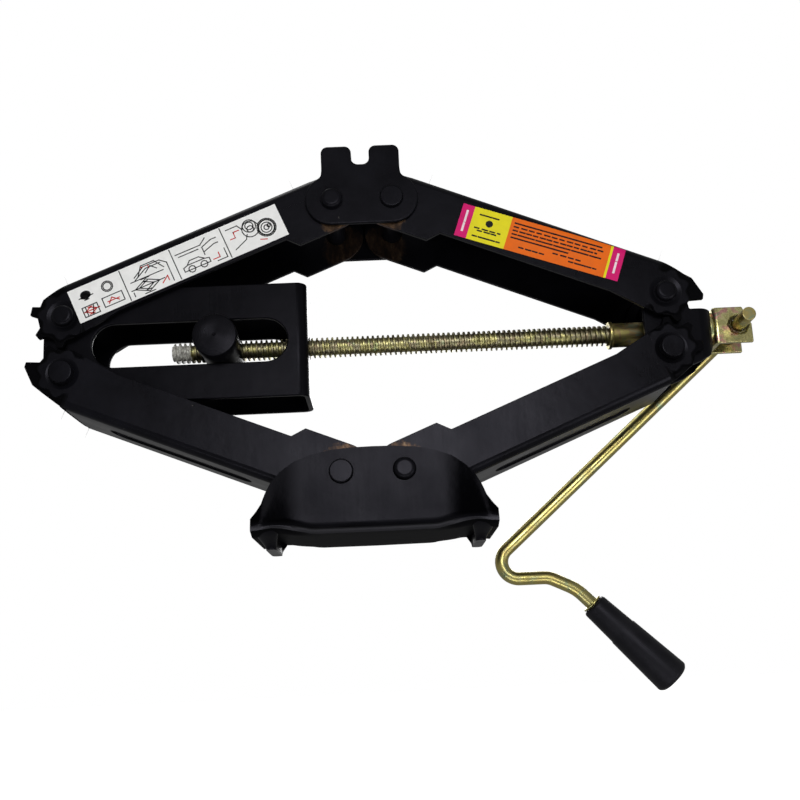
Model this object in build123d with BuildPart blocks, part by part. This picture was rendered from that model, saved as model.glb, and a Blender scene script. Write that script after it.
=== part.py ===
"""Scissor car jack: four pressed arms, base, saddle, lead screw and folding crank.

Frame: +X along the lead screw towards the crank, +Z the lifting direction,
-Y the front.  The origin is on the ground under the middle of the base.
All sizes are in millimetres.
"""
import math
import os

from build123d import *

# ---------------------------------------------------------------- driving sizes
arm_length = 168.0          # pivot to pivot
rest_angle = 22.4           # slope of the arms at the modelled height, degrees
arm_sin = math.sin(math.radians(rest_angle))
arm_cos = math.cos(math.radians(rest_angle))

foot_pivot_x = 17.5         # half spacing of the two pivots in base and saddle
knuckle_half = 17.0         # half spacing of the two pivots in each knuckle
base_pivot_z = 40.5         # height of the base pivots over the ground

knuckle_x = foot_pivot_x + arm_length * arm_cos
lower_knuckle_z = base_pivot_z + arm_length * arm_sin
axis_z = lower_knuckle_z + knuckle_half
upper_knuckle_z = axis_z + knuckle_half
saddle_pivot_z = upper_knuckle_z + arm_length * arm_sin

arm_sheet = 2.5
arm_outer = 24.5            # half width over an arm's flanges
arm_inner = arm_outer - arm_sheet
web_outer = -18.5           # arm web, measured across the arm from its pivot line
open_edge = 10.0            # free edge of the arm flanges on the screw side
eye_radius = 16.9           # round ends of the arms at base and saddle

pin_radius = 6.0
pin_hole = 6.06             # running fit of every pivot

plate_inner = arm_outer + 0.4
base_sheet = 3.0
base_outer = plate_inner + base_sheet
saddle_sheet = 2.5
saddle_outer = plate_inner + saddle_sheet

yoke_sheet = 3.0
yoke_outer = 19.5
yoke_inner = yoke_outer - yoke_sheet
left_yoke_reach = 138.3     # knuckle pivots to the outer face of the nut bracket's web
right_yoke_reach = 28.4     # knuckle pivots to the nose of the thrust bracket

screw_radius = 6.0
screw_left = -115.5
nut_x = -86.0
clevis_pivot_x = 218.0
rod_radius = 4.0
rod_plane_y = 34.5

parts_folder = "parts"
os.makedirs(parts_folder, exist_ok=True)


def save(solid, name):
    """Label one finished piece and write it under its own name."""
    solid.label = name
    export_step(solid, os.path.join(parts_folder, name + ".step"))


def front_plane(x, z, y=0.0):
    """Sketch plane seen from the front: x to the right, y up, facing the viewer."""
    return Plane(origin=(x, y, z), x_dir=(1, 0, 0), z_dir=(0, -1, 0))


def polar(radius, angle):
    """Point at a radius and an angle in degrees about the sketch origin."""
    turn = math.radians(angle)
    return (radius * math.cos(turn), radius * math.sin(turn))


# ---------------------------------------------------------------- arms
tooth_pitch = 45.0
tip_radius = 18.9
root_radius = 14.7
tip_half_angle = 5.0
root_half_angle = 13.0
heel_radius = 22.0          # broad last tooth that never comes into mesh
bead_width = 15.0
bead_depth = 1.2
bead_ends = (30.0, 118.0)
web_ends = (9.0, arm_length - 17.0)


def arm_plane(side, level):
    """Sketch plane of an arm: x from knuckle to foot pivot, y towards the screw."""
    start_z = lower_knuckle_z if level < 0 else upper_knuckle_z
    facing = 1 if side * level < 0 else -1
    return Plane(
        origin=(side * knuckle_x, 0, start_z),
        x_dir=(-side * arm_cos, 0, level * arm_sin),
        z_dir=(0, facing, 0),
    )


def tooth(angle, tip=tip_radius, tip_half=tip_half_angle):
    """Four corners of one gear tooth, in order of rising angle."""
    return [
        polar(root_radius, angle - root_half_angle),
        polar(tip, angle - tip_half),
        polar(tip, angle + tip_half),
        polar(root_radius, angle + root_half_angle),
    ]


def arm_outline(first_tooth, last_tooth, leads):
    """Corners of an arm flange from its screw edge round the teeth to the eye."""
    points = [(30, open_edge), (5, 13.9), (0.6, 14.7)]
    if leads:
        points += tooth(first_tooth) + tooth(first_tooth + tooth_pitch)
        points += tooth(last_tooth, tip_radius, 8.0)
    else:
        points += tooth(first_tooth + tooth_pitch / 2)
        points += tooth(last_tooth, heel_radius, 4.0)[:3]
        points += [polar(17.8, last_tooth + 36)]
    points += [polar(15.6, 244), (3.0, -17.0), (9.0, web_outer)]
    points += [(arm_length - 12, web_outer)]
    points += [(arm_length + eye_radius * math.sin(math.radians(a)),
                -eye_radius * math.cos(math.radians(a))) for a in (10, 30)]
    return points


def rounded_channel(plane, low, half_width, corner):
    """Bar across an arm's section, rounded below and reaching far above."""
    across = Plane(origin=plane.origin, x_dir=plane.y_dir, z_dir=plane.x_dir)
    with BuildPart() as bar:
        with BuildSketch(across.offset(-40)):
            with Locations((low + 40, 0)):
                RectangleRounded(80, 2 * half_width, corner)
        extrude(amount=arm_length + 80)
    return bar.part


def make_arm(side, level, first_tooth, last_tooth, leads):
    """Pressed channel arm: gear sector at the knuckle, eye at the foot, beaded web."""
    plane = arm_plane(side, level)
    bump = arm_length - 27.7
    outer = rounded_channel(plane, web_outer, arm_outer, 4.5)
    inner = rounded_channel(plane, web_outer + arm_sheet, arm_inner, 2.0)
    outline = arm_outline(first_tooth, last_tooth, leads)
    eye_side = (arm_length + eye_radius, 0)
    eye_top = (arm_length, eye_radius)
    with BuildPart() as arm:
        with BuildSketch(plane):
            with BuildLine():
                Polyline(*outline)
                ThreePointArc(outline[-1], eye_side, eye_top)
                Polyline(eye_top, (bump, eye_radius), (bump - 6, open_edge), outline[0])
            make_face()
        extrude(amount=arm_outer, both=True)
        add(outer, mode=Mode.INTERSECT)
        add(inner, mode=Mode.SUBTRACT)
        with BuildSketch(plane):
            with Locations((web_ends[0] - 30, 0), (web_ends[1] + 30, 0)):
                Rectangle(60, 90)
        extrude(amount=arm_inner, both=True, mode=Mode.SUBTRACT)
        web = Plane(origin=plane.origin, x_dir=plane.x_dir, z_dir=-plane.y_dir)
        with BuildSketch(web.offset(-web_outer)):
            with Locations((sum(bead_ends) / 2, 0)):
                SlotOverall(bead_ends[1] - bead_ends[0], bead_width)
        extrude(amount=-bead_depth, mode=Mode.SUBTRACT)
        with BuildSketch(plane):
            with Locations((0, 0), (arm_length, 0)):
                Circle(pin_hole)
        extrude(amount=arm_outer, both=True, mode=Mode.SUBTRACT)
    return arm.part


left_tooth = 118.4
right_tooth = 109.4
save(make_arm(-1, -1, left_tooth, 185.9, False), "lower_left_arm")
save(make_arm(-1, 1, left_tooth, 214.4, True), "upper_left_arm")
save(make_arm(1, -1, right_tooth, 199.4, True), "lower_right_arm")
save(make_arm(1, 1, right_tooth, 192.0, False), "upper_right_arm")

# ---------------------------------------------------------------- base
base_top = 13.4             # crown of the side plates over the pivots
floor_bottom = 6.5          # underside of the floor over the ground
lip_out = 2.0               # the foot lip stands out past the side plates
lip_height = 5.0
lip_half_length = 58.0
skirt_x = 61.0
skirt_half = 14.0           # half width of a skirt's ground edge
floor_top = floor_bottom + base_sheet
base_side = [(24, 12.4), (44, 6.8), (56, -4.5), (61, -16), (67, -24)]
base_corner = [(65, -30.6), (61, floor_bottom - base_pivot_z)]

with BuildPart() as base:
    with BuildSketch(front_plane(0, base_pivot_z)):
        with BuildLine():
            left_side = [(-x, z) for x, z in base_side]
            left_corner = [(-x, z) for x, z in base_corner]
            ThreePointArc(left_side[0], (0, base_top), base_side[0])
            Spline(*base_side)
            Spline(*left_side)
            Polyline(base_side[-1], *base_corner, *reversed(left_corner), left_side[-1])
        make_face()
    extrude(amount=base_outer, both=True)
    # Foot lip along the lower edge, front and rear.
    with BuildSketch(Plane.YZ.offset(-lip_half_length)):
        with Locations((0, floor_bottom + lip_height / 2)):
            RectangleRounded(2 * (base_outer + lip_out), lip_height, 2)
    extrude(amount=2 * lip_half_length)
    # Ground skirts turned down at both ends.
    for end in (-1, 1):
        with BuildSketch(Plane.YZ.offset(end * skirt_x)):
            with BuildLine():
                Polyline((-skirt_half, 0), (skirt_half, 0), (base_outer - 1, floor_top),
                         (1 - base_outer, floor_top), (-skirt_half, 0))
            make_face()
        extrude(amount=-end * base_sheet)
    # Open channel between the side plates, over the floor.
    with BuildSketch(Plane.YZ.offset(-90)):
        with Locations((0, floor_top + 40)):
            RectangleRounded(2 * plate_inner, 80, 4)
    extrude(amount=180, mode=Mode.SUBTRACT)
    with BuildSketch(front_plane(0, base_pivot_z)):
        with Locations((-foot_pivot_x, 0), (foot_pivot_x, 0)):
            Circle(pin_radius)
    extrude(amount=base_outer, both=True, mode=Mode.SUBTRACT)
save(base.part, "base")

# ---------------------------------------------------------------- saddle
horn_inner = 5.2
horn_outer = 23.0
horn_top = 33.5
notch_floor = 21.8
horn_foot = 19.0
plate_corner = 4.0          # every corner of the saddle's outline
saddle_round = 15.5         # plate ends about the saddle pivots
roof_edge = 20.5            # lowest reach of the roof's side walls
end_low = (foot_pivot_x, -saddle_round)
end_mid = (foot_pivot_x + saddle_round, 0)
end_high = (foot_pivot_x + 6.0, 14.3)

with BuildPart() as saddle:
    with BuildSketch(front_plane(0, saddle_pivot_z)) as plate:
        with BuildLine():
            for m in (-1, 1):
                low, mid, high = ((m * p[0], p[1]) for p in (end_low, end_mid, end_high))
                ThreePointArc(low, mid, high)
                Polyline(high, (m * horn_outer, horn_foot), (m * horn_outer, horn_top),
                         (m * horn_inner, horn_top), (m * horn_inner, notch_floor))
            Line((-horn_inner, notch_floor), (horn_inner, notch_floor))
            Line((-foot_pivot_x, -saddle_round), (foot_pivot_x, -saddle_round))
        make_face()
        fillet(plate.vertices(), plate_corner)
    extrude(amount=saddle_outer, both=True)
    # Hollow for the arm eyes, with a roof that follows horns and notch.
    with BuildSketch(front_plane(0, saddle_pivot_z)):
        with BuildLine():
            inner_top = horn_top - saddle_sheet
            inner_dip = notch_floor - saddle_sheet
            inner_side = horn_outer - saddle_sheet
            inner_notch = horn_inner + saddle_sheet
            right_room = [(60, -40), (60, roof_edge), (inner_side, roof_edge), (inner_side, inner_top),
                          (inner_notch, inner_top), (inner_notch, inner_dip)]
            left_room = [(-x, z) for x, z in reversed(right_room)]
            Polyline(*right_room, *left_room, right_room[0])
        make_face()
    extrude(amount=plate_inner, both=True, mode=Mode.SUBTRACT)
    with BuildSketch(front_plane(0, saddle_pivot_z)):
        with Locations((-foot_pivot_x, 0), (foot_pivot_x, 0)):
            Circle(pin_radius)
    extrude(amount=saddle_outer, both=True, mode=Mode.SUBTRACT)
save(saddle.part, "saddle")

# ---------------------------------------------------------------- left yoke
slot_ends = (14.8, 126.8)   # from the knuckle pivots
slot_height = 26.0
left_yoke_half = 34.0
left_yoke_taper = 45.0
yoke_eye = 12.8             # yoke ends about the knuckle pivots
screw_bore = 6.6


def yoke_section(end_x, half_width, corner):
    """Plan outline of a yoke strap whose closed end stands at end_x (left of it open)."""
    with BuildPart() as strap:
        with BuildSketch(Plane.XY.offset(axis_z - 60)):
            with Locations((end_x - 100, 0)):
                RectangleRounded(200, 2 * half_width, corner)
        extrude(amount=120)
    return strap.part


with BuildPart() as left_yoke:
    web_x = left_yoke_reach - knuckle_x
    with BuildSketch(front_plane(-knuckle_x, axis_z)):
        with BuildLine():
            for m in (-1, 1):
                mid = (polar(yoke_eye, 135)[0], m * (knuckle_half + polar(yoke_eye, 135)[1]))
                ThreePointArc((-yoke_eye, m * knuckle_half), mid, (0, m * (knuckle_half + yoke_eye)))
                Polyline((0, m * (knuckle_half + yoke_eye)), (left_yoke_taper, m * left_yoke_half),
                         (left_yoke_reach, m * left_yoke_half))
            Line((-yoke_eye, -knuckle_half), (-yoke_eye, knuckle_half))
            Line((left_yoke_reach, -left_yoke_half), (left_yoke_reach, left_yoke_half))
        make_face()
    extrude(amount=yoke_outer, both=True)
    add(yoke_section(web_x, yoke_outer, 6), mode=Mode.INTERSECT)
    add(yoke_section(web_x - yoke_sheet, yoke_inner, 3), mode=Mode.SUBTRACT)
    with BuildSketch(front_plane(-knuckle_x, axis_z)):
        with Locations((sum(slot_ends) / 2, 0)):
            SlotOverall(slot_ends[1] - slot_ends[0], slot_height)
        with Locations((0, knuckle_half), (0, -knuckle_half)):
            Circle(pin_radius)
    extrude(amount=yoke_outer, both=True, mode=Mode.SUBTRACT)
    with BuildSketch(Plane.YZ.offset(web_x - 10)):
        with Locations((0, axis_z)):
            Circle(screw_bore)
    extrude(amount=20, mode=Mode.SUBTRACT)
save(left_yoke.part, "left_yoke")

# ---------------------------------------------------------------- right yoke
# Corners from the knuckle eyes to the nose, measured from the screw axis.
nose_above = [(7.0, 27.7), (12.0, 21.5), (13.2, 15.0), (14.5, 8.0)]
nose_below = [(9.0, -27.5), (18.0, -24.0), (25.0, -20.0)]
nose_levels = (8.0, -12.0)

with BuildPart() as right_yoke:
    nose_x = knuckle_x + right_yoke_reach
    with BuildSketch(front_plane(knuckle_x, axis_z)):
        with BuildLine():
            for m, corners, level in zip((1, -1), (nose_above, nose_below), nose_levels):
                mid = (polar(yoke_eye, 135)[0], m * (knuckle_half + polar(yoke_eye, 135)[1]))
                ThreePointArc((-yoke_eye, m * knuckle_half), mid, (0, m * (knuckle_half + yoke_eye)))
                Polyline((0, m * (knuckle_half + yoke_eye)), *corners, (right_yoke_reach, level))
            Line((-yoke_eye, -knuckle_half), (-yoke_eye, knuckle_half))
            Line((right_yoke_reach, nose_levels[0]), (right_yoke_reach, nose_levels[1]))
        make_face()
    extrude(amount=yoke_outer, both=True)
    add(yoke_section(nose_x, yoke_outer, 9), mode=Mode.INTERSECT)
    add(yoke_section(nose_x - yoke_sheet, yoke_inner, 6), mode=Mode.SUBTRACT)
    with BuildSketch(front_plane(knuckle_x, axis_z)):
        with Locations((0, knuckle_half), (0, -knuckle_half)):
            Circle(pin_radius)
    extrude(amount=yoke_outer, both=True, mode=Mode.SUBTRACT)
    with BuildSketch(Plane.YZ.offset(nose_x - 10)):
        with Locations((0, axis_z)):
            Circle(pin_hole)
    extrude(amount=20, mode=Mode.SUBTRACT)
save(right_yoke.part, "right_yoke")

# ---------------------------------------------------------------- pins and washers
flat_head_radius = 6.8
upset_head_radius = 6.2
upset_height = 3.4
foot_head = 2.2
knuckle_head = 4.5


def make_pin(x, z, shoulder, flat_height, front):
    """Rivet pin: turned flat head on the side that front names, upset dome opposite."""
    with BuildPart() as pin:
        with BuildSketch(front_plane(x, z)):
            Circle(pin_radius)
        extrude(amount=shoulder, both=True)
        with BuildSketch(Plane(origin=(x, front * shoulder, z), z_dir=(0, front, 0))):
            Circle(flat_head_radius)
        extrude(amount=flat_height)
        rims = pin.edges().filter_by(GeomType.CIRCLE).sort_by(Axis.Y)
        chamfer(rims[0] if front < 0 else rims[-1], 0.5)
        with BuildSketch(Plane(origin=(x, -front * shoulder, z), z_dir=(0, -front, 0))):
            Circle(upset_head_radius)
        extrude(amount=upset_height)
        rims = pin.edges().filter_by(GeomType.CIRCLE).sort_by(Axis.Y)
        fillet(rims[-1] if front < 0 else rims[0], 2.4)
    return pin.part


for pin_name, pin_x, pin_z, shoulder, flat_height, front in (
    ("base_pin_left", -foot_pivot_x, base_pivot_z, base_outer, foot_head, -1),
    ("base_pin_right", foot_pivot_x, base_pivot_z, base_outer, foot_head, 1),
    ("saddle_pin_left", -foot_pivot_x, saddle_pivot_z, saddle_outer, foot_head, 1),
    ("saddle_pin_right", foot_pivot_x, saddle_pivot_z, saddle_outer, foot_head, -1),
    ("knuckle_pin_left_lower", -knuckle_x, lower_knuckle_z, arm_outer, knuckle_head, -1),
    ("knuckle_pin_left_upper", -knuckle_x, upper_knuckle_z, arm_outer, knuckle_head, 1),
    ("knuckle_pin_right_lower", knuckle_x, lower_knuckle_z, arm_outer, knuckle_head, -1),
    ("knuckle_pin_right_upper", knuckle_x, upper_knuckle_z, arm_outer, knuckle_head, 1),
):
    save(make_pin(pin_x, pin_z, shoulder, flat_height, front), pin_name)

spacer_thickness = 2.3
spacer_radius = 10.0
for side, spacer_name in ((-1, "left_pivot_washers"), (1, "right_pivot_washers")):
    with BuildPart() as spacers:
        for face_y in (-yoke_outer, yoke_outer + spacer_thickness):
            with BuildSketch(front_plane(side * knuckle_x, axis_z, face_y)):
                with Locations((0, knuckle_half), (0, -knuckle_half)):
                    Circle(spacer_radius)
                    Circle(pin_radius, mode=Mode.SUBTRACT)
            extrude(amount=spacer_thickness)
    save(spacers.part, spacer_name)

# ---------------------------------------------------------------- screw and nut
screw_shoulder = knuckle_x + right_yoke_reach - yoke_sheet
collar_start = 143.0
collar_radius = 7.2
washer_start = knuckle_x + right_yoke_reach + 0.1
clevis_start = washer_start + 2.2
clevis_web = 3.0
screw_end = clevis_start + clevis_web
nut_radius = 12.0
nut_span = (-31.0, 24.0)
nut_bore = 6.06


def bar_along_x(start, end, radius):
    """Round bar on the screw axis."""
    with BuildPart() as bar:
        with BuildSketch(Plane.YZ.offset(start)):
            with Locations((0, axis_z)):
                Circle(radius)
        extrude(amount=end - start)
    return bar.part


with BuildPart() as lead_screw:
    add(bar_along_x(screw_left, screw_end, screw_radius))
    chamfer(lead_screw.edges().filter_by(GeomType.CIRCLE).sort_by(Axis.X)[0], 1.2)
    add(bar_along_x(screw_end, screw_end + 2.5, 8.0))
    fillet(lead_screw.edges().filter_by(GeomType.CIRCLE).sort_by(Axis.X)[-1], 1.8)
save(lead_screw.part, "lead_screw")

with BuildPart() as screw_collar:
    add(bar_along_x(collar_start, screw_shoulder - 0.2, collar_radius))
    add(bar_along_x(collar_start, collar_start + 2.0, collar_radius + 1.0))
    add(bar_along_x(collar_start - 1, screw_shoulder + 1, screw_radius), mode=Mode.SUBTRACT)
save(screw_collar.part, "screw_collar")

with BuildPart() as thrust_washer:
    add(bar_along_x(washer_start, clevis_start, 11.0))
    add(bar_along_x(washer_start - 1, clevis_start + 1, screw_radius), mode=Mode.SUBTRACT)
save(thrust_washer.part, "thrust_washer")

with BuildPart() as trunnion_nut:
    with BuildSketch(Plane(origin=(nut_x, nut_span[0], axis_z), z_dir=(0, 1, 0))):
        Circle(nut_radius)
    extrude(amount=nut_span[1] - nut_span[0])
    chamfer(trunnion_nut.edges().filter_by(GeomType.CIRCLE), 1.0)
    add(bar_along_x(nut_x - 20, nut_x + 20, nut_bore), mode=Mode.SUBTRACT)
save(trunnion_nut.part, "trunnion_nut")

# ---------------------------------------------------------------- clevis
ear_half = 11.0
ear_sheet = 2.5
ear_end = 226.0
ear_corner = 5.0
rod_hole = rod_radius + 0.08

with BuildPart() as crank_clevis:
    with BuildSketch(front_plane(0, axis_z)):
        with BuildLine():
            Polyline((clevis_start, -ear_half), (ear_end, -ear_half), (ear_end, 0),
                     (ear_end - ear_corner, ear_half), (clevis_start, ear_half), (clevis_start, -ear_half))
        make_face()
    extrude(amount=ear_half, both=True)
    fillet(crank_clevis.edges().filter_by(Axis.Z).group_by(Axis.X)[0], 2.5)
    with BuildSketch(Plane.XY.offset(axis_z - 30)):
        with Locations((screw_end + 25, 0)):
            Rectangle(50, 2 * (ear_half - ear_sheet))
    extrude(amount=60, mode=Mode.SUBTRACT)
    with BuildSketch(front_plane(clevis_pivot_x, axis_z)):
        Circle(rod_hole)
    extrude(amount=30, both=True, mode=Mode.SUBTRACT)
    add(bar_along_x(clevis_start - 1, screw_end + 1, screw_radius), mode=Mode.SUBTRACT)
save(crank_clevis.part, "crank_clevis")

# ---------------------------------------------------------------- crank and grip
leg_end_y = -29.0
run_elbow = (57.5, -139.3)      # x, and z from the screw axis
run_heel = (102.5, -139.3)
run_bend = (118.5, -147.0)
grip_end = (172.6, -202.8)
grip_length = 64.0
grip_big = 11.0
grip_small = 7.8
grip_step = (40.0, 9.2, 8.8)   # place of the step from the butt, radii either side
grip_bore = rod_radius + 0.08

crank_points = [
    (clevis_pivot_x, leg_end_y, axis_z),
    (clevis_pivot_x, rod_plane_y, axis_z),
    (run_elbow[0], rod_plane_y, axis_z + run_elbow[1]),
    (run_heel[0], rod_plane_y, axis_z + run_heel[1]),
    (run_bend[0], rod_plane_y, axis_z + run_bend[1]),
    (grip_end[0], rod_plane_y, axis_z + grip_end[1]),
]
grip_run = math.dist(run_bend, grip_end)
grip_dir = ((grip_end[0] - run_bend[0]) / grip_run, 0, (grip_end[1] - run_bend[1]) / grip_run)
rod_tip = tuple(a - 5.0 * b for a, b in zip(crank_points[-1], grip_dir))

with BuildPart() as crank_rod:
    with BuildLine() as rod_path:
        FilletPolyline(*crank_points[:-1], rod_tip, radius=[10.0, 10.2, 14.0, 25.0])
    with BuildSketch(Plane(origin=crank_points[0], z_dir=(0, 1, 0))):
        Circle(rod_radius)
    sweep(path=rod_path.wires()[0])
save(crank_rod.part, "crank_rod")


with BuildPart() as crank_grip:
    along = Plane(origin=crank_points[-1], x_dir=(0, 1, 0), z_dir=[-c for c in grip_dir])
    half = Plane(origin=along.origin, x_dir=along.x_dir, z_dir=along.y_dir)
    run = 1 if half.y_dir.dot(along.z_dir) > 0 else -1
    with BuildSketch(half):
        with BuildLine():
            place, before, after = grip_step
            Polyline((0, 0), (grip_big - 2, 0), (grip_big, run * 2), (before, run * place),
                     (after, run * (place + 1)), (grip_small, run * (grip_length - 1)),
                     (grip_small - 1, run * grip_length), (0, run * grip_length), (0, 0))
        make_face()
    revolve(axis=Axis(along.origin, along.z_dir))
    with BuildSketch(along.offset(4.5)):
        Circle(grip_bore)
    extrude(amount=grip_length, mode=Mode.SUBTRACT)
save(crank_grip.part, "crank_grip")

washer_plane = Plane(origin=crank_points[-1], x_dir=(0, 1, 0), z_dir=[-c for c in grip_dir])
with BuildPart() as grip_washer:
    with BuildSketch(washer_plane.offset(grip_length + 0.4)):
        Circle(6.4)
        Circle(rod_radius + 0.02, mode=Mode.SUBTRACT)
    extrude(amount=1.2)
save(grip_washer.part, "grip_washer")

# ---------------------------------------------------------------- labels
label_thickness = 0.15
# Corners in an arm's own plane.  The rating label is stuck on 3 degrees askew, and
# is cut where it would leave the flat of the flange.
instruction_corners = [(7.4, -12.6), (137.0, -12.6), (137.0, 8.3), (7.4, 8.3)]
rating_corners = [(28.9, -14.0), (87.7, -14.0), (127.1, -12.0), (126.1, 8.8), (28.0, 3.8)]
for side, corners, label_name in ((-1, instruction_corners, "instruction_label"),
                                  (1, rating_corners, "rating_label")):
    plane = arm_plane(side, 1)
    away = -1 if plane.z_dir.Y > 0 else 1
    with BuildPart() as label:
        with BuildSketch(plane.offset(away * arm_outer)):
            Polygon(*corners, align=None)
        extrude(amount=away * label_thickness)
    save(label.part, label_name)
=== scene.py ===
import math

import bpy
import numpy as np
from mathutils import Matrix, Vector


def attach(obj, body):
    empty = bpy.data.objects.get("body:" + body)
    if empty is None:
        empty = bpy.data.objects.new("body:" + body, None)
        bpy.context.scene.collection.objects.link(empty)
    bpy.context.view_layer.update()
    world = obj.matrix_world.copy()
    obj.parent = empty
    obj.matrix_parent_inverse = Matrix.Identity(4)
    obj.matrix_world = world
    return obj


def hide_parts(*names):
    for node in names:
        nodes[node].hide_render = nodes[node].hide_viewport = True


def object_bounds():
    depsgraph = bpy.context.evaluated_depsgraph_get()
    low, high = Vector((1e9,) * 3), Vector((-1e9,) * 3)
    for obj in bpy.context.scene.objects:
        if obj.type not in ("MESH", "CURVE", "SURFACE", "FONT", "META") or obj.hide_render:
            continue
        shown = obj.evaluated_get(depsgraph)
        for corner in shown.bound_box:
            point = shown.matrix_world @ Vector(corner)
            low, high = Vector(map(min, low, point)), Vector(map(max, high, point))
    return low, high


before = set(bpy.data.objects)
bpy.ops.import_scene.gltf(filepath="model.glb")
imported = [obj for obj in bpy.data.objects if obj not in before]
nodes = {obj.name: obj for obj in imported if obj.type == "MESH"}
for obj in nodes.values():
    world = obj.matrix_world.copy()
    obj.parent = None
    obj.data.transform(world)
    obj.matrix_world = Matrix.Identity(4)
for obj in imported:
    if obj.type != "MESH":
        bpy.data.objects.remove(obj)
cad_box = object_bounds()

MM = 0.001

# Sizes every section shares, in millimetres: X along the screw, Z up from the ground.
ARM_LENGTH = 168.0
SLOPE = math.radians(22.4)
FOOT_X, KNUCKLE_HALF, BASE_Z = 17.5, 17.0, 40.5
KNUCKLE_X = FOOT_X + ARM_LENGTH * math.cos(SLOPE)
LOWER_Z = BASE_Z + ARM_LENGTH * math.sin(SLOPE)
AXIS_Z = LOWER_Z + KNUCKLE_HALF
UPPER_Z = AXIS_Z + KNUCKLE_HALF
SADDLE_Z = UPPER_Z + ARM_LENGTH * math.sin(SLOPE)

# ================================================================ base
# Pressed steel foot, 3 mm thick: two arched side plates over a floor, with the lower
# edge rolled out into a lip, ends that flare, and a skirt turned down at each end
# that bites the ground.  Black electrocoat; the base pins hold it to the lower arms.


def linear(hex_colour):
    """sRGB hex to linear: c/12.92 up to 0.04045, else ((c+0.055)/1.055)^2.4."""
    c = np.array([int(hex_colour[i:i + 2], 16) for i in (1, 3, 5)]) / 255.0
    c = np.where(c <= 0.04045, c / 12.92, ((c + 0.055) / 1.055) ** 2.4)
    return (*c.tolist(), 1.0)


def new_material(name):
    """Empty node material with its Principled shader wired to the output."""
    material = bpy.data.materials.new(name)
    material.use_nodes = True
    tree = material.node_tree
    tree.nodes.clear()
    out = tree.nodes.new("ShaderNodeOutputMaterial")
    shader = tree.nodes.new("ShaderNodeBsdfPrincipled")
    tree.links.new(shader.outputs[0], out.inputs[0])
    return material, tree, shader


def add_node(tree, kind, links=(), sockets=(), **settings):
    """One node: settings are attributes, sockets fixed inputs, links input: socket."""
    node = tree.nodes.new(kind)
    for key, value in settings.items():
        setattr(node, key, value)
    for key, value in dict(sockets).items():
        node.inputs[key].default_value = value
    for key, source in dict(links).items():
        tree.links.new(source, node.inputs[key])
    return node


def place_mm(tree, stretch=(1.0, 1.0, 1.0)):
    """Object coordinates in millimetres, each axis multiplied by its stretch."""
    where = add_node(tree, "ShaderNodeTexCoord")
    scaled = add_node(tree, "ShaderNodeVectorMath", {0: where.outputs["Object"]},
                      {1: tuple(s / MM for s in stretch)}, operation="MULTIPLY")
    return scaled.outputs[0]


def noise(tree, place, size, detail=3.0, rough=0.55, twist=0.0):
    """Noise whose blobs are size mm across."""
    return add_node(tree, "ShaderNodeTexNoise", {"Vector": place},
                    {"Scale": 1.0 / size, "Detail": detail, "Roughness": rough,
                     "Distortion": twist}).outputs["Fac"]


def ramp(tree, factor, stops):
    """Colour ramp of (position, hex) stops, linear between them."""
    node = add_node(tree, "ShaderNodeValToRGB", {"Fac": factor})
    while len(node.color_ramp.elements) < len(stops):
        node.color_ramp.elements.new(0.5)
    for element, (position, colour) in zip(node.color_ramp.elements, stops):
        element.position = position
        element.color = linear(colour)
    return node.outputs["Color"]


def remap(tree, value, low, high, to_low=0.0, to_high=1.0):
    """to_low + (value-low)/(high-low) (to_high-to_low), held at the ends."""
    return add_node(tree, "ShaderNodeMapRange", {"Value": value},
                    {"From Min": low, "From Max": high, "To Min": to_low,
                     "To Max": to_high}).outputs["Result"]


def blend(tree, factor, first, second):
    """first (1-factor) + second factor; each is a hex string or a colour socket."""
    node = add_node(tree, "ShaderNodeMix", {"Factor": factor}, data_type="RGBA")
    for key, colour in ((6, first), (7, second)):
        if isinstance(colour, str):
            node.inputs[key].default_value = linear(colour)
        else:
            tree.links.new(colour, node.inputs[key])
    return node.outputs[2]


def maths(tree, operation, first, second=0.0):
    """Arithmetic on two sockets or numbers."""
    node = add_node(tree, "ShaderNodeMath", operation=operation)
    for key, value in enumerate((first, second)):
        if isinstance(value, (int, float)):
            node.inputs[key].default_value = value
        else:
            tree.links.new(value, node.inputs[key])
    return node.outputs[0]


def bump(tree, height, depth, under=None):
    """Bump from a 0..1 height map that stands depth mm high, over another normal."""
    node = add_node(tree, "ShaderNodeBump", {"Height": height}, {"Distance": depth * MM})
    if under is not None:
        tree.links.new(under, node.inputs["Normal"])
    return node.outputs["Normal"]


def distance_to(tree, x, z):
    """Distance in mm from the line through (x, z) across the jack: sqrt(dx^2+dz^2)."""
    split = add_node(tree, "ShaderNodeSeparateXYZ", {0: place_mm(tree)})
    dx = maths(tree, "SUBTRACT", split.outputs[0], x)
    dz = maths(tree, "SUBTRACT", split.outputs[2], z)
    return maths(tree, "SQRT", maths(tree, "ADD", maths(tree, "MULTIPLY", dx, dx),
                                     maths(tree, "MULTIPLY", dz, dz)))


COAT_IOR = 1.19             # thin matted coat: its reflection is weak face on
COAT_TINT = (0.86, 0.84, 1.0, 1.0)


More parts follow.
